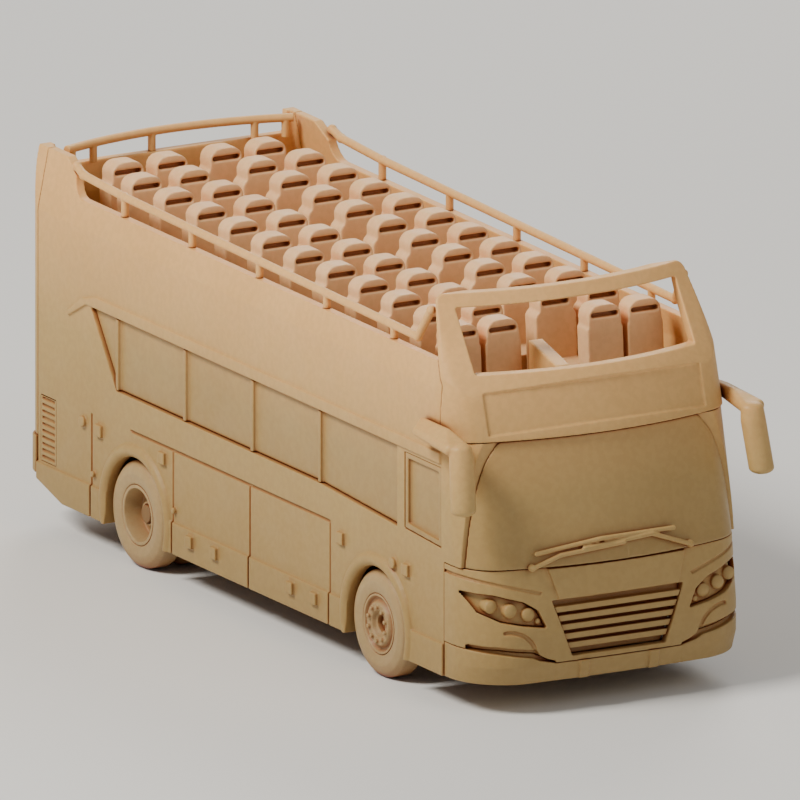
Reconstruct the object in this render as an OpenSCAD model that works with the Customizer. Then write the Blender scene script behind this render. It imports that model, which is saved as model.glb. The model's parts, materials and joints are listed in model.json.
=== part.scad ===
// Small display model of an open-top double deck sightseeing bus, in millimetres.
// +Z is up, the front faces -Y, and the origin is on the ground under the middle of the bus.

/* [Body] */
// Length of the bus, from its wipers to its rear bumper
body_len = 152; // [140:0.5:180]
// Width across the side panels
body_w = 51; // [46:0.5:60]
// Thickness of the body panels
wall = 1.6; // [1.2:0.1:2]
// Height of the bottom edge of the skirts
skirt_z = 5.2; // [4:0.1:6.5]
// Height of the top edge of the upper deck's side walls
wall_top_z = 56.6; // [54:0.1:60]
// Height of the top of the front frame
frame_top_z = 66.4; // [64:0.1:70]
// Height of the upper deck's walking surface
deck_z = 43.6; // [42:0.1:45]
// Thickness of the upper deck
deck_t = 1.6; // [1.2:0.1:2]
// Gap left between panels that meet
seam = 0.1; // [0.05:0.01:0.2]

/* [Front] */
// Height of the windscreen's lower edge
screen_z = 24; // [22:0.1:26]
// Height of the windscreen's upper edge
brow_z = 44.4; // [43:0.1:46]
// Height where the upper front panel starts to lean back
kink_z = 53; // [52:0.1:54]
// Lean of the windscreen, in degrees
screen_rake = 13.5; // [8:0.5:18]
// Lean of the panel over the windscreen, in degrees
brow_rake = 17; // [12:0.5:22]
// Lean of the front frame, in degrees
frame_rake = 34; // [26:0.5:38]
// How far the front face is bowed forward at its middle
front_bow = 4.5; // [3:0.1:5.5]
// Half width of the opening in the front frame
opening_half_w = 20.2; // [16:0.1:21]

/* [Side windows] */
// Height of the window sill
sill_z = 27.9; // [26:0.1:30]
// Height of the window head
head_z = 40; // [38:0.1:41]
// Distance from one window pillar to the next
pane_pitch = 22; // [19:0.1:24]
// Depth of the panes behind the panels
pane_inset = 0.7; // [0.4:0.05:0.9]

/* [Wheels] */
// Radius of a tyre
tyre_r = 8.8; // [7.5:0.1:9.2]
// Width of a front tyre, and of one of the twin rear tyres
tyre_w = 5; // [4:0.1:5.5]
// Distance between the axles
wheel_base = 78.6; // [74:0.1:84]
// Distance from the foremost point to the front axle
front_overhang = 35.8; // [33:0.1:40]
// Distance between the outer faces of opposite tyres
track_out = 51.2; // [48:0.1:52]
// Gap between a tyre and its arch
arch_gap = 0.75; // [0.6:0.05:1.5]
// Width of the rounded lip round an arch
arch_band = 2.3; // [1.6:0.1:2.6]
// Radius of an axle's end
axle_r = 1.5; // [1.2:0.05:2]
// Clearance between an axle's end and a hub's bore, on the radius
bore_gap = 0.06; // [0.02:0.01:0.1]

/* [Seats] */
// Number of seat rows
rows = 12; // [8:1:12]
// Distance from row to row
row_pitch = 10.6; // [10:0.1:12]
// Distance from the foremost point to the front row's backs
front_row_gap = 22.6; // [20:0.1:26]
// Height of the top of a seat
seat_top_z = 60.2; // [58:0.1:62]
// Height of a seat's cushion
cushion_z = 49.2; // [48:0.1:51]
// Width of a seat's back
seat_w = 7.6; // [6:0.1:8.2]
// Depth of a seat's back
back_t = 3.6; // [3:0.1:4.5]
// Distance between the two seats of a pair
seat_pitch = 8.8; // [8.4:0.1:9.4]
// Half of the distance between the two inner seats of a row
aisle_half = 6.3; // [6:0.1:7]

/* [Guard rails] */
// Height of the rail's middle over the deck wall's top edge
rail_rise = 3; // [2.6:0.1:4]
// Radius of the rail
rail_r = 0.7; // [0.6:0.05:1]
// Radius of a post
post_r = 0.65; // [0.5:0.05:0.9]

/* [Hidden] */
tan_color = "burlywood";
dark_color = "peru";

half_w = body_w / 2;
front_y = -body_len / 2;
proud = 0.4;
rear_y = body_len / 2 - proud;
front_axle_y = front_y + front_overhang;
rear_axle_y = front_axle_y + wheel_base;
arch_r = tyre_r + arch_gap;
far = 2 * body_len;
eps = 0.01;

// Front face: where its middle line stands at each height
nose_y = front_y + 1.8;
screen_y = front_y + 1;
brow_y = screen_y + (brow_z - screen_z) * tan(screen_rake);
kink_y = brow_y + (kink_z - brow_z) * tan(brow_rake);
screen_inset = 0.55;
screen_corner_r = 7.3;
brow_corner_r = 5.8;
frame_corner_r = 3.4;
frame_top_r = 1.7;
nose_corner_r = 9;
nose_bow = 1.2;
fascia_top_bow = front_bow - 0.6;
fascia_rear_y = front_y + 14;
pillar_y = front_y + 9.1;
rear_corner_r = 4.5;
rear_bow = 1.2;
rear_low_z = 8.6;
rear_lean_z = 36;
rear_lean = 1.9;
rear_split_y = rear_y - 5;
rear_top_z = wall_top_z + 2;
corner_top_z = rear_top_z + 3.6;
corner_x = half_w - 4.2;
tumble_z = 52.3;
tumble = 0.2;

// Side windows: from the raked rear end to the driver's window
band_rear_y = rear_y - 22.2;
pillar_1_y = band_rear_y - 8.4;
cab_pillar_y = front_y + 29.4;
cab_front_y = front_y + 15;
sill_drop = 2.1;
sill_bend_y = pillar_1_y - 3 * pane_pitch;
beltline_z = 22.4;
skirt_top_z = 10.5;

hatch_w = 2;
hatch_rise = 0.7;
rear_hatch_y = rear_y - 25.5;

// Seats
front_row_y = front_y + front_row_gap;
back_lean = 4;
cushion_len = 5.2;
slot_w = 4.9;
slot_h = 0.8;
slot_drop = 1.6;
slot_depth = 1.2;
cap_w = seat_w - 1.6;
cap_h = 2.9;
cap_r = 2;
shoulder_r = 1.3;
floor_gap = 0.02;

// Guard rails
rail_x = half_w - 1.76;
rail_z = wall_top_z + rail_rise;
rail_drop = 1.3;
rear_rail_z = rear_top_z + 3.2;
rail_front_y = front_y + 25.6;
rail_rear_y = rear_y - 17;
bead_rise = 0.12;
post_ys = [for (i = [0 : 4]) rear_y - 30.4 - i * (body_len - 64.2) / 4];

seat_names = [for (i = [1 : rows]) str("seat_row_", i)];

function bow_radius(w, bow) = (w * w + bow * bow) / (2 * bow);
// Height of the guard rail's middle at a place along the bus
function rail_height(y) = rail_z + 0.4 - rail_drop * (rail_rear_y - y) / (rail_rear_y - rail_front_y);
// Height of the window sill at a place along the bus
function sill_at(y) = sill_z - sill_drop * max(0, sill_bend_y - y) / (sill_bend_y - cab_front_y);

// ---------------------------------------------------------------- outlines

// Plan of one end of the body: it ends at y_end on +Y, bowed and with round corners
module bowed_end(w, y_end, bow, r) {
  big_r = bow_radius(w, bow);
  bow_y = y_end - big_r;
  corner_y = bow_y + sqrt((big_r - r) * (big_r - r) - (w - r) * (w - r));
  reach = 1.3;
  intersection() {
    translate([0, bow_y]) circle(big_r, $fn = 200);
    polygon([[0, bow_y], [reach * (w - r), bow_y + reach * (corner_y - bow_y)],
             [-reach * (w - r), bow_y + reach * (corner_y - bow_y)]]);
  }
  for (s = [-1, 1]) translate([s * (w - r), corner_y]) circle(r, $fn = 64);
  translate([-w, -far]) square([2 * w, far + corner_y]);
}

// A raked, bowed front: everything behind it, from a height z0 where its middle stands at y0
module raked_front(y0, z0, rake, bow, r, inset) {
  translate([0, y0, z0]) rotate([-rake, 0, 0]) translate([0, 0, -far])
    linear_extrude(2 * far) mirror([0, 1])
      bowed_end(half_w - inset, -inset, bow, r - inset);
}

// The body as seen from the front, extruded along its length
module section(inset) {
  w = half_w - inset;
  top = 2 * frame_top_z;
  rotate([90, 0, 0]) translate([0, 0, -far]) linear_extrude(2 * far)
    polygon([[-w, -far], [w, -far], [w, tumble_z], [w - tumble * (top - tumble_z), top],
             [-w + tumble * (top - tumble_z), top], [-w, tumble_z]]);
}

// Everything in front of the rear face, which leans forward over its middle height
module rear_shape(inset) {
  intersection() {
    translate([0, 0, -far]) linear_extrude(2 * far)
      bowed_end(half_w - inset, rear_y - inset, rear_bow, rear_corner_r - inset);
    rotate([90, 0, 90]) translate([0, 0, -far]) linear_extrude(2 * far)
      polygon([[-far, -far], [rear_y, -far], [rear_y - inset, rear_lean_z],
               [rear_y - inset - rear_lean, wall_top_z - 3], [rear_y - inset - rear_lean, far],
               [-far, far]]);
  }
}

// The whole body over the fascia, drawn in by inset on every face
module envelope(inset) {
  intersection() {
    section(inset);
    rear_shape(inset);
    raked_front(screen_y, screen_z, screen_rake, front_bow, screen_corner_r, inset);
    raked_front(brow_y, brow_z, brow_rake, front_bow, brow_corner_r, inset);
    raked_front(kink_y, kink_z, frame_rake, front_bow, frame_corner_r, inset);
  }
}

// The front of the body over the windscreen
module upper_front(inset) {
  intersection() {
    section(inset);
    raked_front(brow_y, brow_z, brow_rake, front_bow, brow_corner_r, inset);
    raked_front(kink_y, kink_z, frame_rake, front_bow, frame_corner_r, inset);
  }
}

module shell() {
  difference() {
    envelope(0);
    envelope(wall);
  }
}

// Slab between two heights, over the whole plan
module layer(z0, z1) {
  translate([-body_w, -body_len, z0]) cube([2 * body_w, 2 * body_len, z1 - z0]);
}

// A shape drawn in the side view (y, z), extruded from x0 to x1
module side_view(x0, x1) {
  translate([x0, 0, 0]) rotate([90, 0, 90]) linear_extrude(x1 - x0) children();
}

// A shape drawn in the front view (x, z), extruded from y0 to y1
module front_view(y0, y1) {
  translate([0, y1, 0]) rotate([90, 0, 0]) linear_extrude(y1 - y0) children();
}

// Side view of the part that belongs to the front frame
module frame_side(grow) {
  polygon([[-far, brow_z - grow], [front_y + 15.4 + grow, brow_z - grow],
           [front_y + 15.4 + grow, kink_z], [front_y + 17.6 + grow, wall_top_z],
           [front_y + 22.2 + grow, frame_top_z], [-far, frame_top_z]]);
}

// Side view of the deck wall, with its rise to the rear corner
module deck_wall_top() {
  rise_y = rear_y - 15;
  fillet = 3.2;
  slope = 3.8;
  difference() {
    polygon([[-far, -far], [far, -far], [far, corner_top_z], [rise_y + slope, corner_top_z],
             [rise_y, wall_top_z + fillet], [rise_y - fillet, wall_top_z + fillet],
             [rise_y - fillet, wall_top_z], [-far, wall_top_z]]);
    translate([rise_y - fillet, wall_top_z + fillet]) circle(fillet, $fn = 48);
  }
}

// ---------------------------------------------------------------- side panels

// Side view of the passenger window band, grown by g
module window_band(g) {
  polygon([[band_rear_y + g, head_z + g], [pillar_1_y, sill_z - g],
           [sill_bend_y, sill_z - g], [cab_pillar_y - g, sill_at(cab_pillar_y) - g],
           [cab_pillar_y - g, head_z + g]]);
}

// Side view of the window beside the driver, grown by g
module cab_window(g) {
  y1 = cab_pillar_y - 2.4;
  polygon([[y1 + g, head_z - 0.4 + g], [y1 + g, sill_at(y1) + 0.4 - g],
           [cab_front_y - g, sill_at(cab_front_y) + 0.4 - g],
           [cab_front_y - g, head_z - 0.4 + g]]);
}

// Side view of the moulding over the windows
module cap_moulding() {
  polygon([[cab_front_y, head_z + 0.2], [cab_front_y, head_z + 2.1], [band_rear_y - 2, head_z + 2.1],
           [band_rear_y + 2.5, head_z + 0.9], [band_rear_y + 7.5, head_z - 2.4],
           [band_rear_y + 6.8, head_z - 2.9], [band_rear_y + 1, head_z + 0.2]]);
}

module arch_cut(y, r) {
  side_view(-far, far) union() {
    translate([y, tyre_r]) circle(r, $fn = 96);
    translate([y - r, -far]) square([2 * r, far + tyre_r]);
  }
}

// Rounded lip round the arch of the axle at y, down to the bottom of the skirt
module arch_lip(y) {
  lip_rise = 0.8;
  lip_r = arch_band / 2;
  intersection() {
    translate([half_w + lip_rise - lip_r, y, tyre_r]) rotate([0, 90, 0]) rotate_extrude($fn = 128)
      translate([arch_r + lip_r - 0.1, 0]) circle(lip_r, $fn = 48);
    layer(skirt_z, far);
  }
}

// Square hatches and round caps on the panel
module fittings() {
  small_cap_r = 0.5;
  big_cap_r = 0.9;
  for (p = [[rear_hatch_y, 20.2], [rear_hatch_y - 20.6, 20.4], [front_y + 47.3, 20.5],
            [front_y + 26, 20.1], [rear_y - 55.7, 8.7], [rear_y - 63.7, 8.7],
            [front_y + 63, 8.7], [front_y + 55.3, 8.7]])
    translate([half_w - wall, p[0] - hatch_w / 2, p[1] - hatch_w / 2])
      cube([wall + hatch_rise + (p[1] < skirt_top_z ? proud : 0), hatch_w, hatch_w]);
  for (p = [[rear_y - 20.2, 20.6, big_cap_r], [front_y + 30.2, 20.3, big_cap_r],
            [rear_y - 23.7, 12.6, small_cap_r], [rear_axle_y - arch_r - arch_band - 1, 12.6, small_cap_r]])
    translate([half_w - wall, p[0], p[1]]) rotate([0, 90, 0])
      cylinder(r = p[2], h = wall + hatch_rise, $fn = 32);
}

// Grooves between the panels of the side
module side_grooves() {
  groove_w = 0.45;
  groove_d = 0.4;
  fore_y = front_axle_y + 15.4;
  side_view(half_w - groove_d, far) {
    translate([fore_y, beltline_z - groove_w / 2]) square([rear_axle_y + 2 - fore_y, groove_w]);
    for (y = [rear_axle_y - 12, rear_axle_y - 37, fore_y, rear_y - 22.6])
      translate([y - groove_w / 2, 0]) square([groove_w, beltline_z]);
  }
}

// The side panel on +X
module side_panel() {
  difference() {
    union() {
      intersection() {
        shell();
        translate([0, pillar_y, skirt_z]) cube([body_w, rear_split_y - pillar_y, far]);
        side_view(0, body_w) deck_wall_top();
      }
      // Skirt, standing proud of the panel
      translate([half_w - wall, fascia_rear_y + seam, skirt_z])
        cube([wall + proud, rear_split_y - fascia_rear_y - seam, skirt_top_z - skirt_z]);
      side_view(half_w - wall, half_w + proud) cap_moulding();
      for (y = [front_axle_y, rear_axle_y]) arch_lip(y);
      fittings();
    }
    side_view(-far, far) frame_side(seam);
    side_view(-far, far) window_band(0);
    side_view(-far, far) cab_window(0);
    for (y = [front_axle_y, rear_axle_y]) arch_cut(y, arch_r);
    side_grooves();
    // Tapered underside behind the rear wheel
    side_view(-far, far) polygon([[rear_y - 13.4, 0], [rear_y - 13.4, skirt_z], [rear_y + 1, 9.5],
                                  [rear_y + 1, 0]]);
    vent_cut(0);
    // The front end stops at the fascia
    translate([0, -far, -far]) cube([far, far + fascia_rear_y + seam, far + screen_z + seam]);
  }
}

// ---------------------------------------------------------------- side vents

vent_y0 = rear_y - 11.1;
vent_z0 = 10.8;
vent_len = 5.1;
vent_h = 11;

module vent_cut(gap) {
  translate([half_w - wall - eps, vent_y0 + gap, vent_z0 + gap])
    cube([far, vent_len - 2 * gap, vent_h - 2 * gap]);
}

// One slatted vent on +X
module side_vent() {
  slats = 10;
  pitch = (vent_h - 2 * seam) / slats;
  difference() {
    intersection() {
      vent_cut(seam);
      section(0);
      translate([0, vent_y0, vent_z0]) cube([half_w, vent_len, vent_h]);
    }
    for (i = [0 : slats - 1])
      translate([half_w, vent_y0 + 0.5, vent_z0 + seam + (i + 0.35) * pitch]) rotate([0, 35, 0])
        translate([-0.5, 0, 0]) cube([2, vent_len - 1, 0.45]);
  }
}

module side_vents() {
  color(dark_color) for (s = [0, 1]) mirror([s, 0, 0]) side_vent();
}

// ---------------------------------------------------------------- windows

module panes() {
  intersection() {
    side_view(half_w - wall, half_w - pane_inset) children();
    section(0);
  }
}

// The strip of passenger windows on +X, with its pillars
module side_windows() {
  panes() window_band(-seam);
  for (y = [pillar_1_y, pillar_1_y - pane_pitch, pillar_1_y - 2 * pane_pitch, sill_bend_y])
    intersection() {
      side_view(half_w - wall, half_w - seam) window_band(-seam);
      translate([0, y - 0.45, 0]) cube([half_w, 0.9, far]);
    }
}

// The pane beside the driver on +X, with its frame
module cab_pane() {
  frame_w = 0.9;
  panes() cab_window(-seam);
  side_view(half_w - wall, half_w - seam) difference() {
    cab_window(-seam);
    cab_window(-seam - frame_w);
  }
}

module side_windows_right() { color(tan_color) mirror([1, 0, 0]) side_windows(); }
module side_windows_left() { color(tan_color) side_windows(); }
module driver_window() { color(tan_color) mirror([1, 0, 0]) cab_pane(); }
module side_panel_right() { color(tan_color) mirror([1, 0, 0]) side_panel(); }

door_y = fascia_rear_y + 0.6;
door_len = front_axle_y - arch_r - arch_band - 0.5 - door_y;

// Passenger door on +X, in front of the front wheel: two leaves with tall panes
module door_outline(g) {
  translate([door_y - g, skirt_z - g]) square([door_len + 2 * g, head_z + 0.2 - skirt_z + 2 * g]);
}

module side_panel_left() {
  color(tan_color) difference() {
    side_panel();
    side_view(-far, far) door_outline(seam);
  }
}

module entrance_door() {
  color(tan_color) difference() {
    side_view(half_w - wall, half_w) door_outline(0);
    side_view(half_w - 0.35, far) translate([door_y + door_len / 2 - 0.15, 0]) square([0.3, far]);
    for (y = [door_y + 0.8, door_y + door_len / 2 + 0.6]) side_view(half_w - pane_inset, far)
      translate([y, 12]) square([door_len / 2 - 1.4, head_z - 13.4]);
  }
}

// ---------------------------------------------------------------- front

// Plan of the fascia at one height, as a thin slice
module fascia_slice(z, y, bow, r, inset) {
  translate([0, 0, z]) linear_extrude(0.1) intersection() {
    mirror([0, 1]) bowed_end(half_w - inset, -y - inset, bow, r - inset);
    translate([-body_w, front_y - 1]) square([2 * body_w, fascia_rear_y + 1 - front_y]);
  }
}

// The solid that the fascia and bumper are cut from, drawn in by inset
module fascia_block(inset) {
  over = inset > 0 ? 1 : 0;
  hull() {
    fascia_slice(skirt_z - over, nose_y + 0.6, nose_bow, nose_corner_r + 1, inset);
    fascia_slice(skirt_z + 3, nose_y, nose_bow, nose_corner_r, inset);
    fascia_slice(skirt_z + 8, nose_y, nose_bow, nose_corner_r, inset);
    fascia_slice(lamp_z, nose_y + 0.3, lamp_bow, nose_corner_r, inset);
    fascia_slice(screen_z - 0.1 + over, nose_y + 0.6, fascia_top_bow, nose_corner_r - 1, inset);
  }
}

lamp_z = 18;
lamp_bow = 2.6;
bumper_z = 8.3;
grille_z0 = 9.2;
grille_z1 = 18.5;
grille_top_w = 12;
grille_low_w = 8.5;
crease_depth = 0.35;
pocket_depth = 1;
nose_rise = 0.5;

// How far the plan of an end has fallen back from its middle at a place x across
function end_drop(x, w, bow, r) = let (big_r = bow_radius(w, bow), cx = w - r,
    cy = sqrt((big_r - r) * (big_r - r) - cx * cx), tx = cx * big_r / (big_r - r))
  x < tx ? big_r - sqrt(big_r * big_r - x * x) : big_r - cy - sqrt(r * r - (x - cx) * (x - cx));

// Everything that lies less than depth under the fascia's face, in a front view outline
module near_face(depth) {
  difference() {
    front_view(-far, fascia_rear_y) children();
    fascia_block(depth);
  }
}

module grille_outline(g) {
  polygon([[-grille_top_w - g, grille_z1 + g], [grille_top_w + g, grille_z1 + g],
           [grille_low_w + g, grille_z0 - g], [-grille_low_w - g, grille_z0 - g]]);
}

// Outline of one headlamp on +X in the front view, grown by g
module lamp_outline(g) {
  polygon([[13.2 - g, 14.3 - g], [14.6 - g, 17.1 + g], [16.8, 18.6 + g], [21.6, 20 + g],
           [25.3, 20.3 + g], [23.6 + g, 17.2], [20.6, 15.7 - g], [17, 14.9 - g]]);
}

// Slot of one fog lamp on +X
module fog_outline() {
  polygon([[11.6, bumper_z], [14.4, 8.9], [15.6, 9.5], [21, 10.4], [24.8, 10.9], [24.8, 11.8],
           [21.5, 11.7], [15, 10.8], [14.2, 9.5], [11.6, bumper_z + 0.35]]);
}

// Front view of everything over the seam between bumper and fascia
module over_bumper(g) {
  polygon([[-far, far], [-far, 11.3 + g], [-21, 11 + g], [-15, 10.1 + g], [-11.6, bumper_z + g],
           [11.6, bumper_z + g], [15, 10.1 + g], [21, 11 + g], [far, 11.3 + g], [far, far]]);
}

// Crease on +X that runs from the nose out to the corner, and the one round the fog lamp
module creases() {
  polygon([[14, 19.6], [21.7, 21.7], [26, 22.7], [26, 23.2], [21.7, 22.2], [13.6, 20.1]]);
  difference() {
    translate([19.6, 9.4]) circle(4.9, $fn = 64);
    translate([19.8, 9.1]) circle(4.6, $fn = 64);
    translate([20.5, -1]) square(20);
    translate([0, -1]) square([40, 11.8]);
  }
}

// Front view of the raised nose between the wipers and the grille
module nose_outline() {
  polygon([[-12.6, screen_z - 0.2], [12.6, screen_z - 0.2], [grille_top_w - 1, grille_z1 + 0.3],
           [-grille_top_w + 1, grille_z1 + 0.3]]);
}

// Fascia and bumper in one, with their openings
module front_end() {
  difference() {
    fascia_block(0);
    fascia_block(wall);
    front_view(-far, 0) grille_outline(seam);
    for (s = [0, 1]) mirror([s, 0, 0]) {
      front_view(-far, 0) lamp_outline(seam);
      near_face(pocket_depth) fog_outline();
      near_face(crease_depth) creases();
    }
  }
}

module front_fascia() {
  color(tan_color) {
    intersection() {
      front_end();
      front_view(-far, far) over_bumper(seam / 2);
    }
    intersection() {
      front_view(-far, nose_y + 3) nose_outline();
      difference() {
        fascia_block(-nose_rise);
        fascia_block(wall / 2);
      }
      layer(0, screen_z - 0.1);
    }
  }
}

// Bumper, with a floor that meets the chassis and two ribs under the grille
module front_bumper() {
  rib_x = 6.4;
  rib_w = 1.7;
  color(tan_color) intersection() {
    union() {
      difference() {
        front_end();
        for (s = [-1, 1]) near_face(crease_depth)
          translate([s * 11.6 - 0.15, 0]) square([0.3, bumper_z]);
      }
      intersection() {
        fascia_block(wall / 2);
        layer(skirt_z + 0.4, skirt_z + 0.3 + wall);
      }
      intersection() {
        for (s = [-1, 1]) front_view(-far, nose_y + 2) translate([s * rib_x - rib_w / 2, 0])
          square([rib_w, far]);
        difference() {
          fascia_block(-proud);
          fascia_block(wall / 2);
        }
      }
    }
    difference() {
      layer(skirt_z, far);
      front_view(-far, far) over_bumper(-seam / 2);
    }
  }
}

// Grille: a backing plate with level bars
module grille() {
  bars = 5;
  bar_h = 0.95;
  y0 = nose_y + 0.7;
  pitch = (grille_z1 - grille_z0) / (bars + 1);
  color(dark_color) {
    front_view(y0 + 1.2, y0 + 2.4) grille_outline(0);
    for (i = [1 : bars]) intersection() {
      front_view(y0, y0 + 1.2 + eps) grille_outline(0);
      translate([-half_w, y0, grille_z0 + i * pitch - bar_h / 2]) cube([body_w, 1.2 + eps, bar_h]);
    }
  }
}

// One lens with a domed face, at x and z on +X
module lens(x, z, r) {
  y = nose_y + 0.3 + end_drop(x, half_w, lamp_bow, nose_corner_r);
  dome_r = 1.5 * r;
  translate([x, y, z]) rotate([90, 0, 0]) intersection() {
    translate([0, 0, -2]) cylinder(r = r, h = 3, $fn = 32);
    union() {
      translate([0, 0, -sqrt(dome_r * dome_r - r * r)]) sphere(r = dome_r, $fn = 32);
      translate([0, 0, -2]) cylinder(r = 2 * r, h = 2, $fn = 32);
    }
  }
}

module headlamp() {
  intersection() {
    front_view(-far, 0) lamp_outline(0);
    difference() {
      fascia_block(pocket_depth);
      fascia_block(wall + 1);
    }
  }
  for (p = [[16.1, 16.6, 1.15], [19.1, 17.4, 1.15], [21.9, 18.2, 1.1], [14.5, 15.4, 0.5]])
    lens(p[0], p[1], p[2]);
}

module headlamps() {
  color(dark_color) for (s = [0, 1]) mirror([s, 0, 0]) headlamp();
}

module windscreen() {
  color(tan_color) intersection() {
    difference() {
      envelope(screen_inset);
      envelope(wall);
    }
    layer(screen_z + seam, brow_z - seam);
    translate([-body_w, -far, 0]) cube([2 * body_w, far + pillar_y - seam, far]);
  }
}

// A straight round rod between two points
module rod(a, b, r) {
  d = b - a;
  len = norm(d);
  translate(a) rotate([0, acos(d[2] / len), atan2(d[1], d[0])]) cylinder(r = r, h = len, $fn = 24);
}

// Round bar with ball ends between two points
module capsule(a, b, r) {
  hull() for (p = [a, b]) translate(p) sphere(r = r, $fn = 12);
}

// Place on the windscreen's face, lifted off it by gap
function screen_point(x, z, gap) =
  [x, screen_y + screen_inset - gap + (z - screen_z) * tan(screen_rake)
    + end_drop(abs(x), half_w, front_bow, screen_corner_r), z];

// Two wiper arms, whose blades meet in one line
module wipers() {
  wiper_r = 0.4;
  lift = 0.85;
  arms = [[[-15.6, 24.4], [-10.8, 26.1], [0.6, 27]], [[13.4, 24.8], [6, 27.6], [-6.6, 26.8]]];
  blades = [[-14.8, 26.6], [-3.4, 28], [10.2, 27.9]];
  color(dark_color) {
    for (path = concat(arms, [blades])) for (i = [1, 2])
      capsule(screen_point(path[i - 1][0], path[i - 1][1], lift),
              screen_point(path[i][0], path[i][1], lift), wiper_r);
    for (arm = arms) translate(screen_point(arm[0][0], arm[0][1], lift)) rotate([-90, 0, 0])
      cylinder(r = 0.6, h = lift - 0.05, $fn = 24);
  }
}

// Front view of what is cut off the front frame to round its top corner on +X
module frame_corner_cut() {
  lean = atan(tumble);
  cz = frame_top_z - frame_top_r;
  cx = half_w - tumble * (cz - tumble_z) - frame_top_r / cos(lean);
  edge_x = cx + frame_top_r * cos(lean);
  edge_z = cz + frame_top_r * sin(lean);
  difference() {
    polygon([[cx, far], [cx, cz], [edge_x, edge_z], [far, edge_z], [far, far]]);
    translate([cx, cz]) circle(frame_top_r, $fn = 64);
  }
}

module upper_front_panel() {
  recess_half_w = 20;
  recess_d = 0.35;
  bow_r = bow_radius(half_w, front_bow);
  color(tan_color) difference() {
    intersection() {
      upper_front(0);
      side_view(-body_w, body_w) frame_side(0);
    }
    upper_front(wall);
    front_view(-far, front_y + 26) translate([-opening_half_w, wall_top_z - 2])
      square([2 * opening_half_w, frame_top_z - wall_top_z - 0.1]);
    for (s = [0, 1]) mirror([s, 0, 0]) front_view(-far, far) frame_corner_cut();
    // Shallow panel for the destination
    translate([0, brow_y, brow_z]) rotate([-brow_rake, 0, 0]) difference() {
      translate([-recess_half_w, -2, 1.8]) cube([2 * recess_half_w, 6, 7]);
      translate([0, bow_r + recess_d, 0]) cylinder(r = bow_r, h = 20, $fn = 200);
    }
  }
}

// ---------------------------------------------------------------- rear

module rear_zone(gap) {
  translate([-body_w, rear_split_y + gap, 0]) cube([2 * body_w, far, far]);
}

engine_z0 = 15.6;
engine_z1 = 30;
engine_half_w = 17;
rear_bumper_z = 14.8;
tail_x = half_w - 5.1;
tail_w = 3;
tail_z = 19;
tail_h = 8;

module rear_panel() {
  color(tan_color) difference() {
    intersection() {
      shell();
      rear_zone(seam);
      front_view(0, far) polygon([[-far, rear_bumper_z], [far, rear_bumper_z], [far, corner_top_z],
        [corner_x, corner_top_z], [corner_x, rear_top_z], [-corner_x, rear_top_z],
        [-corner_x, corner_top_z], [-far, corner_top_z]]);
    }
    front_view(0, far) translate([-engine_half_w - seam, engine_z0 - seam])
      square([2 * (engine_half_w + seam), engine_z1 - engine_z0 + 2 * seam]);
    for (s = [-1, 1]) front_view(rear_y - 4, far) translate([s * tail_x - tail_w / 2, tail_z])
      square([tail_w, tail_h]);
    vent_cut(0);
    mirror([1, 0, 0]) vent_cut(0);
  }
}

module engine_cover() {
  slots = 6;
  color(tan_color) difference() {
    intersection() {
      shell();
      rear_zone(seam);
      front_view(0, far) translate([-engine_half_w, engine_z0])
        square([2 * engine_half_w, engine_z1 - engine_z0]);
    }
    for (i = [0 : slots - 1]) front_view(rear_y - 0.9, far)
      translate([-12, engine_z0 + 2 + i * 1.9]) square([24, 0.8]);
  }
}

module rear_bumper() {
  color(tan_color) difference() {
    intersection() {
      difference() {
        envelope(-proud);
        envelope(wall);
      }
      rear_zone(seam);
      layer(rear_low_z, rear_bumper_z - seam);
    }
    vent_cut(0);
    mirror([1, 0, 0]) vent_cut(0);
  }
}

module tail_lamps() {
  color(dark_color) for (s = [0, 1]) mirror([s, 0, 0]) intersection() {
    difference() {
      envelope(-0.2);
      envelope(wall);
    }
    front_view(rear_y - 4 + seam, far) translate([tail_x - tail_w / 2 + seam, tail_z + seam])
      square([tail_w - 2 * seam, tail_h - 2 * seam]);
  }
}

// ---------------------------------------------------------------- deck and seats

module upper_deck() {
  color(tan_color) intersection() {
    envelope(wall + seam);
    layer(deck_z - deck_t, deck_z);
  }
}

// Front view of a seat's back of width w, with round shoulders and a narrower round cap
module back_outline(w) {
  low_z = deck_z + floor_gap;
  shoulder_z = seat_top_z - cap_h;
  translate([-w / 2, low_z]) square([w, shoulder_z - shoulder_r - low_z]);
  translate([-w / 2 + shoulder_r, low_z]) square([w - 2 * shoulder_r, shoulder_z - low_z]);
  translate([-cap_w / 2, shoulder_z - 1]) square([cap_w, cap_h + 1 - cap_r]);
  translate([-cap_w / 2 + cap_r, shoulder_z]) square([cap_w - 2 * cap_r, cap_h]);
  for (s = [-1, 1]) {
    translate([s * (w / 2 - shoulder_r), shoulder_z - shoulder_r]) circle(shoulder_r, $fn = 32);
    translate([s * (cap_w / 2 - cap_r), seat_top_z - cap_r]) circle(cap_r, $fn = 32);
  }
}

// One seat at x, its back's front face at y; w is the back's width
module seat(x, y, w) {
  translate([x, y, 0]) difference() {
    intersection() {
      translate([0, 0, cushion_z]) rotate([-back_lean, 0, 0])
        translate([-w / 2, 0, -cushion_z]) cube([w, back_t, 2 * seat_top_z]);
      front_view(-far, far) back_outline(w);
    }
    translate([-slot_w / 2, -far, seat_top_z - slot_drop - slot_h / 2])
      cube([slot_w, far + slot_depth + (seat_top_z - cushion_z) * tan(back_lean), slot_h]);
  }
}

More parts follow.
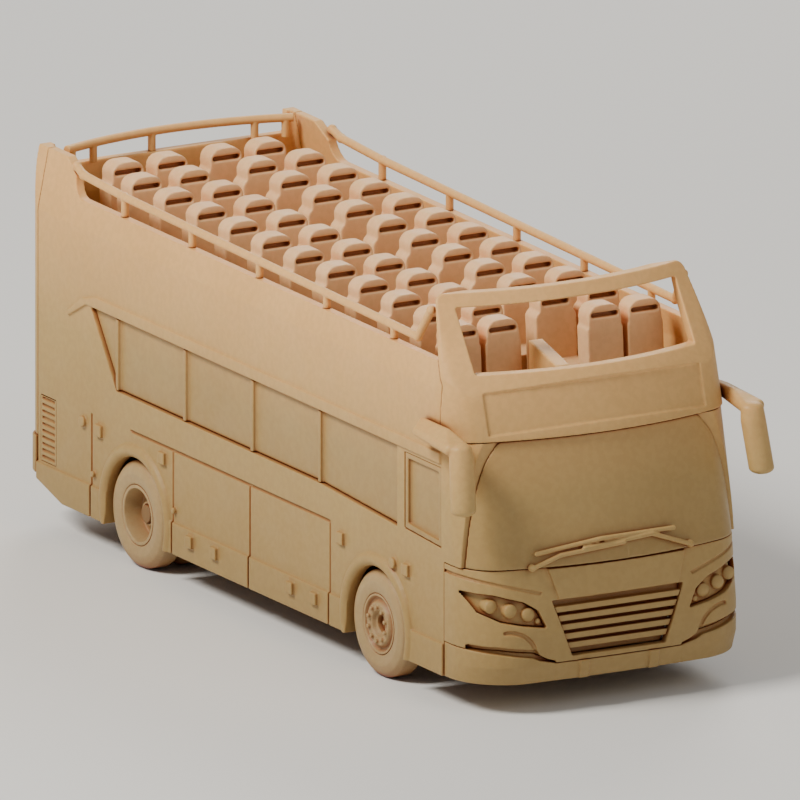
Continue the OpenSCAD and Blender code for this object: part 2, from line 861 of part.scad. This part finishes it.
// Two seats on one base, centred between x_in and x_out
module seat_pair(x_in, x_out, y, w) {
  cushion_t = 2.4;
  base_z = deck_z + floor_gap;
  seat(x_in, y, w);
  seat(x_out, y, w);
  translate([x_in - w / 2 - 0.3, y - cushion_len, base_z])
    cube([x_out - x_in + w + 0.6, cushion_len + back_t - 0.4, cushion_z - cushion_t + 0.4 - base_z]);
  for (x = [x_in, x_out]) translate([x - w / 2 - 0.1, y - cushion_len, cushion_z - cushion_t])
    cube([w + 0.2, cushion_len + 1, cushion_t]);
}

// Row i, counted from the rear
module seat_row(i) {
  y = front_row_y + (rows - i) * row_pitch - (i == 1 ? 1 : 0);
  front = i == rows;
  rear = i == 1;
  x_in = front ? aisle_half + 3.1 : rear ? aisle_half - 1.3 : aisle_half;
  step = front ? seat_pitch - 1.4 : rear ? seat_pitch - 0.7 : seat_pitch;
  w = front ? seat_w - 1 : rear ? seat_w - 0.5 : seat_w;
  color(tan_color) for (s = [0, 1]) mirror([s, 0, 0])
    seat_pair(x_in, x_in + step, y, w);
}

module stair_guard() {
  y0 = front_y + 12.6;
  y1 = front_y + 21.6;
  base_z = deck_z + floor_gap;
  color(tan_color) side_view(-5.6, -3) polygon([[y0, base_z], [y1, base_z], [y1, wall_top_z],
                                                [y0, wall_top_z - 2.3]]);
}

// ---------------------------------------------------------------- guard rails

// Rail through a list of points, with a bead at each
module tube(points, r) {
  for (i = [1 : len(points) - 1]) rod(points[i - 1], points[i], r);
  for (p = points) translate(p) sphere(r = r + bead_rise, $fn = 24);
}

// Rail on +X, from the rear corner to the front frame
module guard_rail() {
  bead_y = rear_y - 14.4;
  tube([[rail_x - 0.2, bead_y, rear_top_z + 2.7],
        [rail_x, rail_rear_y, rail_height(rail_rear_y) + 0.4],
        [rail_x, post_ys[0], rail_height(post_ys[0])],
        [rail_x, rail_front_y, rail_height(rail_front_y)],
        [rail_x - 0.5, rail_front_y - 3.4, frame_top_z - 2.6]], rail_r);
  for (y = post_ys) translate([rail_x, y, wall_top_z + floor_gap])
    cylinder(r = post_r, h = rail_height(y) - wall_top_z, $fn = 24);
}

module guard_rail_right() { color(tan_color) mirror([1, 0, 0]) guard_rail(); }
module guard_rail_left() { color(tan_color) guard_rail(); }

// Rail round the bowed rear end, with posts at uneven places
module guard_rail_rear() {
  end_x = half_w - 4.6;
  arc_r = bow_radius(end_x, 3.6);
  half_angle = asin(end_x / arc_r);
  post_xs = [1.2 - end_x, -15, -3.2, 14.8, end_x - 1.2];
  color(tan_color) translate([0, rear_y - rear_lean - wall / 2 - arc_r, 0]) {
    translate([0, 0, rear_rail_z]) rotate(90 - half_angle)
      rotate_extrude(angle = 2 * half_angle, $fn = 360) translate([arc_r, 0]) circle(rail_r, $fn = 32);
    for (x = post_xs) rotate(-asin(x / arc_r)) translate([0, arc_r, rear_top_z + floor_gap])
      cylinder(r = post_r, h = rear_rail_z - rear_top_z, $fn = 24);
  }
}

// ---------------------------------------------------------------- mirrors

// Mirror on +X: an arm that leaves the side panel and a head that hangs from it
module mirror_arm_and_head() {
  top_z = 46.2;
  hull() {
    translate([half_w + 0.9, front_y + 19.4, top_z]) sphere(r = 0.8, $fn = 24);
    translate([half_w + 0.9, front_y + 11.6, top_z]) sphere(r = 0.8, $fn = 24);
    translate([half_w + 3, front_y + 17.5, top_z - 0.8]) sphere(r = 0.8, $fn = 24);
    translate([half_w + 3, front_y + 7, top_z - 1.4]) sphere(r = 1, $fn = 24);
    translate([half_w + 0.6, front_y + 6, top_z - 1.6]) sphere(r = 1, $fn = 24);
  }
  hull() {
    translate([half_w + 1.4, front_y + 6.2, top_z - 1.4]) scale([1.9, 1.8, 1]) sphere(r = 1, $fn = 24);
    translate([half_w + 1.4, front_y + 5.8, top_z - 3.4]) scale([2.1, 2, 1]) sphere(r = 1, $fn = 24);
    translate([half_w + 2, front_y + 4.2, top_z - 11]) scale([2.1, 2, 1]) sphere(r = 1, $fn = 24);
  }
}

module mirror_right() { color(tan_color) mirror([1, 0, 0]) mirror_arm_and_head(); }
module mirror_left() { color(tan_color) mirror_arm_and_head(); }

// ---------------------------------------------------------------- chassis and wheels

hub_r = 5;
rim_depth = 0.8;
twin_gap = 0.8;
axle_shaft_r = 2;
wheel_room = 0.8;
front_wheel_w = tyre_w;
rear_wheel_w = 2 * tyre_w + twin_gap;
track_half = track_out / 2;

function wheel_w(rear) = rear ? rear_wheel_w : front_wheel_w;

module wheel_notch(y, w) {
  room = tyre_r + arch_gap;
  for (s = [0, 1]) mirror([s, 0, 0]) translate([track_half - w - wheel_room, y - room, -far])
    cube([far, 2 * room, 2 * far]);
}

// Floor plate with a bearing block over each axle
module chassis() {
  floor_z = skirt_z + 0.8;
  color(dark_color) difference() {
    union() {
      intersection() {
        envelope(wall + seam);
        side_view(-half_w, half_w) polygon([[fascia_rear_y + 0.1, floor_z], [rear_y - 14, floor_z],
          [rear_y, floor_z + 3.8], [rear_y, floor_z + 5.4], [rear_y - 14, floor_z + 1.6],
          [fascia_rear_y + 0.1, floor_z + 1.6]]);
      }
      for (a = [[front_axle_y, front_wheel_w], [rear_axle_y, rear_wheel_w]]) {
        block_x = track_half - a[1] - wheel_room - 0.4;
        translate([-block_x, a[0] - 3.4, floor_z]) cube([2 * block_x, 6.8, tyre_r + 3 - floor_z]);
        for (s = [0, 1]) mirror([s, 0, 0]) wheel_house(a[0], a[1]);
      }
    }
    for (a = [[front_axle_y, front_wheel_w], [rear_axle_y, rear_wheel_w]]) {
      wheel_notch(a[0], a[1]);
      translate([-far, a[0], tyre_r]) rotate([0, 90, 0])
        cylinder(r = axle_shaft_r + 0.02, h = 2 * far, $fn = 48);
    }
  }
}

// Inner wall behind a wheel
module wheel_house(y, w) {
  room = tyre_r + arch_gap;
  x = track_half - w - wheel_room - 1;
  intersection() {
    side_view(x, x + 1) translate([y, tyre_r]) circle(room + 0.8, $fn = 96);
    layer(skirt_z + 0.8, far);
  }
}

module axle(y, w) {
  shoulder_x = track_half - w - wheel_room + 0.3;
  end_x = track_half - rim_depth - 1;
  color(dark_color) translate([0, y, tyre_r]) rotate([0, 90, 0]) {
    translate([0, 0, -shoulder_x]) cylinder(r = axle_shaft_r, h = 2 * shoulder_x, $fn = 48);
    translate([0, 0, -end_x]) cylinder(r = axle_r, h = 2 * end_x, $fn = 48);
  }
}

module front_axle() { axle(front_axle_y, front_wheel_w); }
module rear_axle() { axle(rear_axle_y, rear_wheel_w); }

// Section of one tyre in (radius, depth from the outer face)
module tyre_section(depth) {
  shoulder = 0.8;
  translate([0, depth]) polygon([[hub_r, 0.3], [tyre_r - 2, 0], [tyre_r - shoulder, 0.3],
    [tyre_r, 0.3 + shoulder], [tyre_r, tyre_w - 0.3 - shoulder], [tyre_r - shoulder, tyre_w - 0.3],
    [tyre_r - 2, tyre_w], [hub_r, tyre_w - 0.3]]);
}

// Tyre on +X, turned about its axle
module tyre(y, rear) {
  color(tan_color) translate([track_half, y, tyre_r]) rotate([0, -90, 0]) rotate_extrude($fn = 96) {
    tyre_section(0);
    if (rear) {
      tyre_section(tyre_w + twin_gap);
      translate([hub_r, tyre_w - 0.4]) square([1, twin_gap + 0.8]);
    }
  }
}

// Front hub on +X: a raised ring with nuts round a hollow middle
module hub_front() {
  w = front_wheel_w;
  color(dark_color) translate([track_half, front_axle_y, tyre_r]) rotate([0, -90, 0]) difference() {
    union() {
      rotate_extrude($fn = 96) polygon([[axle_r + bore_gap, 1], [1.9, 1], [2.2, 0.3], [3.4, 0.1],
        [3.9, 0.9], [4.3, 0.9], [4.6, 0.3], [hub_r - 0.02, 0.3], [hub_r - 0.02, w - 0.3],
        [4.2, w - 0.3], [4.2, 2], [axle_r + 1.4, 2], [axle_r + 1.4, w + 0.2], [axle_r + bore_gap, w + 0.2]]);
      for (i = [0 : 9]) rotate(i * 36) translate([2.8, 0, -0.35]) cylinder(r = 0.36, h = 1, $fn = 24);
    }
  }
}

// Rear hub on +X: a deep dish with a small cap
module hub_rear() {
  w = rear_wheel_w;
  dish = 3.4;
  color(dark_color) translate([track_half, rear_axle_y, tyre_r]) rotate([0, -90, 0])
    rotate_extrude($fn = 96) polygon([[axle_r + bore_gap, dish - 1.2], [2, dish - 1.2], [2.2, dish],
      [3.8, dish], [4.4, 0.3], [hub_r - 0.02, 0.3], [hub_r - 0.02, w - 0.3], [4.2, w - 0.3],
      [4.2, dish + 1.2], [axle_r + 1.4, dish + 1.2], [axle_r + 1.4, w + 0.2],
      [axle_r + bore_gap, w + 0.2]]);
}

module tyre_front_right() { mirror([1, 0, 0]) tyre(front_axle_y, false); }
module tyre_front_left() { tyre(front_axle_y, false); }
module tyre_rear_right() { mirror([1, 0, 0]) tyre(rear_axle_y, true); }
module tyre_rear_left() { tyre(rear_axle_y, true); }
module hub_front_right() { mirror([1, 0, 0]) hub_front(); }
module hub_front_left() { hub_front(); }
module hub_rear_right() { mirror([1, 0, 0]) hub_rear(); }
module hub_rear_left() { hub_rear(); }

// ---------------------------------------------------------------- assembly

chassis();
front_axle();
rear_axle();
tyre_front_right();
tyre_front_left();
tyre_rear_right();
tyre_rear_left();
hub_front_right();
hub_front_left();
hub_rear_right();
hub_rear_left();
side_panel_right();
side_panel_left();
side_windows_right();
side_windows_left();
driver_window();
entrance_door();
side_vents();
front_fascia();
front_bumper();
grille();
headlamps();
windscreen();
wipers();
upper_front_panel();
rear_panel();
engine_cover();
rear_bumper();
tail_lamps();
upper_deck();
stair_guard();
guard_rail_right();
guard_rail_left();
guard_rail_rear();
mirror_right();
mirror_left();
for (i = [1 : rows]) seat_row(i);
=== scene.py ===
"""Looks of a small one-colour cast model of an open-top double-decker bus, built round its CAD frame."""
import json
import math

import bmesh
import bpy
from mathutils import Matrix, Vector

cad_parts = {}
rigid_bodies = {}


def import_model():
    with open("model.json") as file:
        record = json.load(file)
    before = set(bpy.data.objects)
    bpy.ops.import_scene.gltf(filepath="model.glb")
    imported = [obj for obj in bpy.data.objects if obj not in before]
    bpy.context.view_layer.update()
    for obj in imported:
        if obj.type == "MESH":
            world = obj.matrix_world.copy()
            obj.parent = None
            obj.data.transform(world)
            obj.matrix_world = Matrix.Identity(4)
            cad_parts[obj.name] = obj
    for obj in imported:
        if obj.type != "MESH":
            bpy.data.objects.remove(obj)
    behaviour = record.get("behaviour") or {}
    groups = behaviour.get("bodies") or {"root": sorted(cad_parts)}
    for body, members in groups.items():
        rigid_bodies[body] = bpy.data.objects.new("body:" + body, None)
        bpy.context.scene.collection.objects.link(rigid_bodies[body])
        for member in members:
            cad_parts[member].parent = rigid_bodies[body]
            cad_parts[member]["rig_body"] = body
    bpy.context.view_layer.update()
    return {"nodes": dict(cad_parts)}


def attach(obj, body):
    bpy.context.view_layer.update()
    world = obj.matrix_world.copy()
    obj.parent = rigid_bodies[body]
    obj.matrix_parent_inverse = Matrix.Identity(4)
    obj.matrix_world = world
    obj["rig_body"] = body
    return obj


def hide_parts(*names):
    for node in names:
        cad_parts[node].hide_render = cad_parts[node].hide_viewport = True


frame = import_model()
nodes = frame["nodes"]

MM = 0.001
WHITE = (1.0, 1.0, 1.0)
BLACK = (0.0, 0.0, 0.0)

# ---------------------------------------------------------------- camera and light

VIEW_AZIMUTH = math.radians(-29.5)
VIEW_ELEVATION = math.radians(14.8)
VIEW_TARGET = Vector((0, -2.5, 34.05)) * MM
VIEW_WIDTH = 128.5 * MM
VIEW_DISTANCE = 0.6
NEAREST, FARTHEST = 0.01, 10

WARM_LIGHT = (1.0, 0.96, 0.9)
# Name, place in metres, disk size in metres, power in watts, colour
LIGHTS = (
    ("key", (-0.62, -0.02, 0.72), 0.3, 9.5, (1.0, 0.95, 0.87)),
    ("fill", (0.25, -0.8, 0.55), 0.6, 1.3, WARM_LIGHT),
    ("rim", (0.5, 0.6, 0.5), 0.4, 3.0, WARM_LIGHT),
)
LIT_POINT = Vector((0, 0, 0.03))
SKY_COLOUR = (0.9, 0.9, 0.9, 1)
SKY_STRENGTH = 0.3
FLOOR_HALF = 3.0
FLOOR_COLOUR = (0.78, 0.78, 0.77, 1)
FLOOR_ROUGHNESS = 0.8


def aim(obj, target):
    obj.rotation_euler = (target - obj.location).to_track_quat("-Z", "Y").to_euler()


def make_camera():
    data = bpy.data.cameras.new("camera")
    data.type = "ORTHO"
    data.ortho_scale = VIEW_WIDTH
    data.clip_start = NEAREST
    data.clip_end = FARTHEST
    camera = bpy.data.objects.new("camera", data)
    flat = math.cos(VIEW_ELEVATION)
    away = Vector((
        math.sin(VIEW_AZIMUTH) * flat,
        -math.cos(VIEW_AZIMUTH) * flat,
        math.sin(VIEW_ELEVATION),
    ))
    camera.location = VIEW_TARGET + away * VIEW_DISTANCE
    aim(camera, VIEW_TARGET)
    bpy.context.scene.collection.objects.link(camera)
    bpy.context.scene.camera = camera


def make_light(name, place, size, power, colour):
    data = bpy.data.lights.new(name, "AREA")
    data.shape = "DISK"
    data.size = size
    data.energy = power
    data.color = colour
    light = bpy.data.objects.new(name, data)
    light.location = place
    aim(light, LIT_POINT)
    bpy.context.scene.collection.objects.link(light)


def make_sky():
    world = bpy.data.worlds.new("studio")
    world.use_nodes = True
    background = world.node_tree.nodes["Background"]
    background.inputs["Color"].default_value = SKY_COLOUR
    background.inputs["Strength"].default_value = SKY_STRENGTH
    bpy.context.scene.world = world


def make_floor():
    mesh = bpy.data.meshes.new("floor")
    corners = [(x * FLOOR_HALF, y * FLOOR_HALF, 0) for x, y in ((-1, -1), (1, -1), (1, 1), (-1, 1))]
    mesh.from_pydata(corners, [], [(0, 1, 2, 3)])
    floor = bpy.data.objects.new("floor", mesh)
    bpy.context.scene.collection.objects.link(floor)
    material = bpy.data.materials.new("floor_paper")
    material.use_nodes = True
    shader = material.node_tree.nodes["Principled BSDF"]
    shader.inputs["Base Color"].default_value = FLOOR_COLOUR
    shader.inputs["Roughness"].default_value = FLOOR_ROUGHNESS
    mesh.materials.append(material)


make_camera()
for light in LIGHTS:
    make_light(*light)
make_sky()
make_floor()

# ---------------------------------------------------------------- materials

# Painted shade: the colour greys and darkens towards the ground, where less light falls; tones to multiply
# by, from this height to that one
LOW_PAINTED_SHADE = (0.40, 0.46, 0.45)
MIDDLE_PAINTED_SHADE = (0.57, 0.66, 0.66)
MIDDLE_SHARE = 0.55
TONE_FROM, TONE_TO = 0.006, 0.058

# Painted warm shade in wide hollows, and painted dark red-brown shade in narrow ones
WIDE_REACH = 6
WIDE_SHADE = (0.72, 0.44, 0.30)
DEEP_PAINTED_SHADE = (0.08, 0.010, 0.002)
EDGE_PAINTED_SHADE = (0.34, 0.07, 0.014)

CLOUD_SCALE, SPECK_SCALE, ROUGH_SCALE, LAYER_SCALE, GRAIN_SCALE = 60, 900, 260, 40, 2600
SPECK_SHADE = (0.95, 0.94, 0.93)
LAYER_STRETCH = (0.02, 0.02, 90)
GRAIN_SHARE = 0.45
BUMP_STRENGTH, BUMP_DEPTH = 0.12, 0.00005
GLOW = {
    "Subsurface Weight": 0.12,
    "Subsurface Radius": (1.0, 0.35, 0.15),
    "Subsurface Scale": 0.0012,
    "Specular IOR Level": 0.35,
}


class Tree:
    """Short ways to build a material's node tree."""

    def __init__(self, name):
        self.material = bpy.data.materials.new(name)
        self.material.use_nodes = True
        self.nodes = self.material.node_tree.nodes
        self.links = self.material.node_tree.links
        self.shader = self.nodes["Principled BSDF"]

    def add(self, kind, **values):
        node = self.nodes.new("ShaderNode" + kind)
        for key, value in values.items():
            if hasattr(node, key):
                setattr(node, key, value)
            else:
                node.inputs[key.replace("_", " ")].default_value = value
        return node

    def link(self, source, target):
        self.links.new(source, target)

    def noise(self, scale, detail, stretch=(1, 1, 1)):
        place = self.add("TexCoord")
        mapping = self.add("Mapping")
        mapping.inputs["Scale"].default_value = stretch
        self.link(place.outputs["Object"], mapping.inputs["Vector"])
        noise = self.add("TexNoise", Scale=scale, Detail=detail)
        self.link(mapping.outputs["Vector"], noise.inputs["Vector"])
        return noise.outputs["Fac"]

    def ramp(self, source, stops):
        ramp = self.add("ValToRGB")
        elements = ramp.color_ramp.elements
        elements[0].position, elements[0].color = stops[0][0], stops[0][1] + (1,)
        elements[1].position, elements[1].color = stops[-1][0], stops[-1][1] + (1,)
        for position, colour in stops[1:-1]:
            elements.new(position).color = colour + (1,)
        self.link(source, ramp.inputs["Fac"])
        return ramp.outputs["Color"]

    def mix(self, mode, factor, a, b):
        mix = self.add("MixRGB", blend_type=mode)
        for value, name in ((factor, "Fac"), (a, "Color1"), (b, "Color2")):
            if hasattr(value, "is_linked"):
                self.link(value, mix.inputs[name])
            elif isinstance(value, tuple):
                mix.inputs[name].default_value = value + (1,)
            else:
                mix.inputs[name].default_value = value
        return mix.outputs["Color"]

    def height(self):
        """Height of a point on the model, as a share of the way from TONE_FROM to TONE_TO."""
        place = self.add("TexCoord")
        height = self.add("SeparateXYZ")
        self.link(place.outputs["Object"], height.inputs["Vector"])
        rise = self.add("MapRange", From_Min=TONE_FROM, From_Max=TONE_TO)
        self.link(height.outputs["Z"], rise.inputs["Value"])
        return rise.outputs["Result"]

    def openness(self, samples, reach):
        return self.add("AmbientOcclusion", samples=samples, Distance=reach).outputs["AO"]


def resin_colour(tree, light, dark, reach):
    colour = tree.ramp(tree.noise(CLOUD_SCALE, 3), [(0.3, dark), (0.7, light)])
    speck = tree.ramp(tree.noise(SPECK_SCALE, 2), [(0.42, SPECK_SHADE), (0.6, WHITE)])
    colour = tree.mix("MULTIPLY", 1.0, colour, speck)
    # Painted shade, darker towards the ground
    painted_height_shade = tree.ramp(tree.height(), [(0.0, LOW_PAINTED_SHADE), (MIDDLE_SHARE, MIDDLE_PAINTED_SHADE), (1.0, WHITE)])
    colour = tree.mix("MULTIPLY", 1.0, colour, painted_height_shade)
    # Painted warm shade in wide hollows
    painted_wide_shade = tree.ramp(tree.openness(3, WIDE_REACH * reach), [(0.1, WIDE_SHADE), (0.7, WHITE)])
    colour = tree.mix("MULTIPLY", 1.0, colour, painted_wide_shade)
    # Painted dark red-brown shade in narrow recesses and between parts
    near = tree.openness(6, reach)
    painted_shade_mask = tree.ramp(near, [(0.3, BLACK), (0.86, WHITE)])
    painted_shade_colour = tree.ramp(near, [(0.15, DEEP_PAINTED_SHADE), (0.7, EDGE_PAINTED_SHADE)])
    return tree.mix("MIX", painted_shade_mask, painted_shade_colour, colour)


def resin(name, light, dark, roughness, reach):
    """Tan cast resin: cloudy colour, fine print layers, and a painted dark red-brown shade in recesses."""
    tree = Tree(name)
    tree.link(resin_colour(tree, light, dark, reach), tree.shader.inputs["Base Color"])
    for key, value in GLOW.items():
        tree.shader.inputs[key].default_value = value
    smoother, rougher = (roughness - 0.06,) * 3, (roughness + 0.08,) * 3
    rough = tree.ramp(tree.noise(ROUGH_SCALE, 3), [(0.3, smoother), (0.7, rougher)])
    tree.link(rough, tree.shader.inputs["Roughness"])
    layers = tree.noise(LAYER_SCALE, 1, LAYER_STRETCH)
    grain = tree.noise(GRAIN_SCALE, 2)
    relief = tree.mix("MIX", GRAIN_SHARE, layers, grain)
    bump = tree.add("Bump", Strength=BUMP_STRENGTH, Distance=BUMP_DEPTH)
    tree.link(relief, bump.inputs["Height"])
    tree.link(bump.outputs["Normal"], tree.shader.inputs["Normal"])
    return tree.material


# Light and dark colour, roughness, and how far the painted shade reaches out of a corner in metres
# Painted light and shade: the model is one colour all over, so the darker window and base resins are shaded
# copies and the lighter seat and wheel resins are lit copies of the body resin
BODY = resin("body_resin", (0.86, 0.50, 0.19), (0.82, 0.465, 0.17), 0.5, 0.0009)
SMOOTH = resin("window_resin_painted_shade", (0.74, 0.425, 0.16), (0.70, 0.395, 0.145), 0.42, 0.0008)
SEAT_RESIN_PAINTED_LIGHT = resin("seat_resin_painted_light", (0.95, 0.60, 0.31), (0.90, 0.54, 0.27), 0.52, 0.0009)
WHEEL_RESIN_PAINTED_LIGHT = resin("wheel_resin_painted_light", (0.95, 0.58, 0.28), (0.88, 0.52, 0.24), 0.5, 0.0011)
BASE_RESIN_PAINTED_SHADE = resin("base_resin_painted_shade", (0.55, 0.27, 0.11), (0.46, 0.22, 0.09), 0.6, 0.0016)

# ---------------------------------------------------------------- mesh helpers

WELD_DISTANCE = 1e-6
SMOOTH_FACTOR = 0.5
# The left cab opening shows from here back, behind the entrance door
DOOR_END = -52.4 * MM
PANE_VOXEL, PANE_TRIANGLES = 0.14, 4000


def apply_modifiers(obj):
    bpy.context.view_layer.update()
    mesh = bpy.data.meshes.new_from_object(obj.evaluated_get(bpy.context.evaluated_depsgraph_get()))
    obj.modifiers.clear()
    obj.data = mesh


def make_piece(name, mesh, body, material, replaced=None):
    piece = bpy.data.objects.new(name, mesh)
    bpy.context.scene.collection.objects.link(piece)
    mesh.materials.clear()
    mesh.materials.append(material)
    mesh.polygons.foreach_set("use_smooth", [True] * len(mesh.polygons))
    mesh.update()
    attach(piece, body)
    if replaced:
        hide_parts(replaced)
    return piece


def soften(mesh, voxel, most, rounds):
    """The same shape with every edge rounded off, in at most so many triangles."""
    obj = bpy.data.objects.new("work", mesh)
    bpy.context.scene.collection.objects.link(obj)
    weld = obj.modifiers.new("weld", "WELD")
    weld.merge_threshold = WELD_DISTANCE
    remesh = obj.modifiers.new("remesh", "REMESH")
    remesh.mode = "VOXEL"
    remesh.voxel_size = voxel * MM
    smooth = obj.modifiers.new("smooth", "SMOOTH")
    smooth.factor = SMOOTH_FACTOR
    smooth.iterations = rounds
    apply_modifiers(obj)
    triangles = sum(len(polygon.vertices) - 2 for polygon in obj.data.polygons)
    if triangles > most:
        fewer = obj.modifiers.new("fewer", "DECIMATE")
        fewer.ratio = most / triangles
        apply_modifiers(obj)
    mesh = obj.data
    bpy.data.objects.remove(obj)
    return mesh


def soft_copy(node, voxel, material, most, rounds=2):
    """A cast version of a CAD node, which stands in for it."""
    source = nodes[node]
    mesh = soften(source.data.copy(), voxel, most, rounds)
    return make_piece("cast_" + node, mesh, source["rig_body"], material, node)


def left_cab_pane(y_from):
    """Pane behind the entrance door: the driver's pane mirrored, without what lies in front of y_from."""
    mesh = nodes["driver_window"].data.copy()
    work = bmesh.new()
    work.from_mesh(mesh)
    bmesh.ops.remove_doubles(work, verts=work.verts, dist=WELD_DISTANCE)
    bmesh.ops.scale(work, vec=(-1, 1, 1), verts=work.verts)
    bmesh.ops.reverse_faces(work, faces=work.faces)
    everything = work.verts[:] + work.edges[:] + work.faces[:]
    bmesh.ops.bisect_plane(
        work, geom=everything, plane_co=(0, y_from, 0), plane_no=(0, 1, 0), clear_inner=True
    )
    bmesh.ops.holes_fill(work, edges=[edge for edge in work.edges if edge.is_boundary])
    work.to_mesh(mesh)
    work.free()
    body = nodes["side_panel_left"]["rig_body"]
    return make_piece("cab_pane_left", soften(mesh, PANE_VOXEL, PANE_TRIANGLES, 1), body, SMOOTH)


# ---------------------------------------------------------------- body panels

# Each call gives the voxel size in millimetres and the most triangles
for side in ("right", "left"):
    soft_copy("side_panel_" + side, 0.15, BODY, 138000, rounds=1)
    soft_copy("side_windows_" + side, 0.18, SMOOTH, 24000, rounds=1)
    soft_copy("mirror_" + side, 0.16, BODY, 8000, rounds=5)
soft_copy("driver_window", 0.14, SMOOTH, 6000, rounds=1)
soft_copy("entrance_door", 0.14, SMOOTH, 10000, rounds=1)
left_cab_pane(DOOR_END)
soft_copy("windscreen", 0.22, SMOOTH, 12000)
soft_copy("upper_front_panel", 0.18, BODY, 48000, rounds=2)
soft_copy("front_fascia", 0.14, BODY, 52000, rounds=1)
soft_copy("front_bumper", 0.16, BODY, 38000, rounds=2)
soft_copy("grille", 0.11, BODY, 28000, rounds=1)
soft_copy("headlamps", 0.12, BODY, 22000)
soft_copy("rear_panel", 0.2, BODY, 34000, rounds=1)
soft_copy("engine_cover", 0.15, BODY, 20000, rounds=1)
soft_copy("rear_bumper", 0.2, BODY, 10000)
soft_copy("tail_lamps", 0.12, BODY, 6000)
soft_copy("side_vents", 0.1, BODY, 18000, rounds=1)
soft_copy("upper_deck", 0.35, BODY, 12000)
soft_copy("stair_guard", 0.2, BODY, 4000)
soft_copy("wipers", 0.1, BODY, 12000)
for name in ("guard_rail_right", "guard_rail_left", "guard_rail_rear"):
    soft_copy(name, 0.12, BODY, 15000)

# ---------------------------------------------------------------- seats, wheels and base

for row in range(1, 13):
    soft_copy(f"seat_row_{row}", 0.2, SEAT_RESIN_PAINTED_LIGHT, 10000, rounds=4)
for place in ("front_right", "front_left", "rear_right", "rear_left"):
    soft_copy("tyre_" + place, 0.18, WHEEL_RESIN_PAINTED_LIGHT, 8000, rounds=5)
    soft_copy("hub_" + place, 0.11, WHEEL_RESIN_PAINTED_LIGHT, 10000, rounds=2)
soft_copy("chassis", 0.3, BASE_RESIN_PAINTED_SHADE, 14000)
for name in ("front_axle", "rear_axle"):
    soft_copy(name, 0.2, BASE_RESIN_PAINTED_SHADE, 2000)
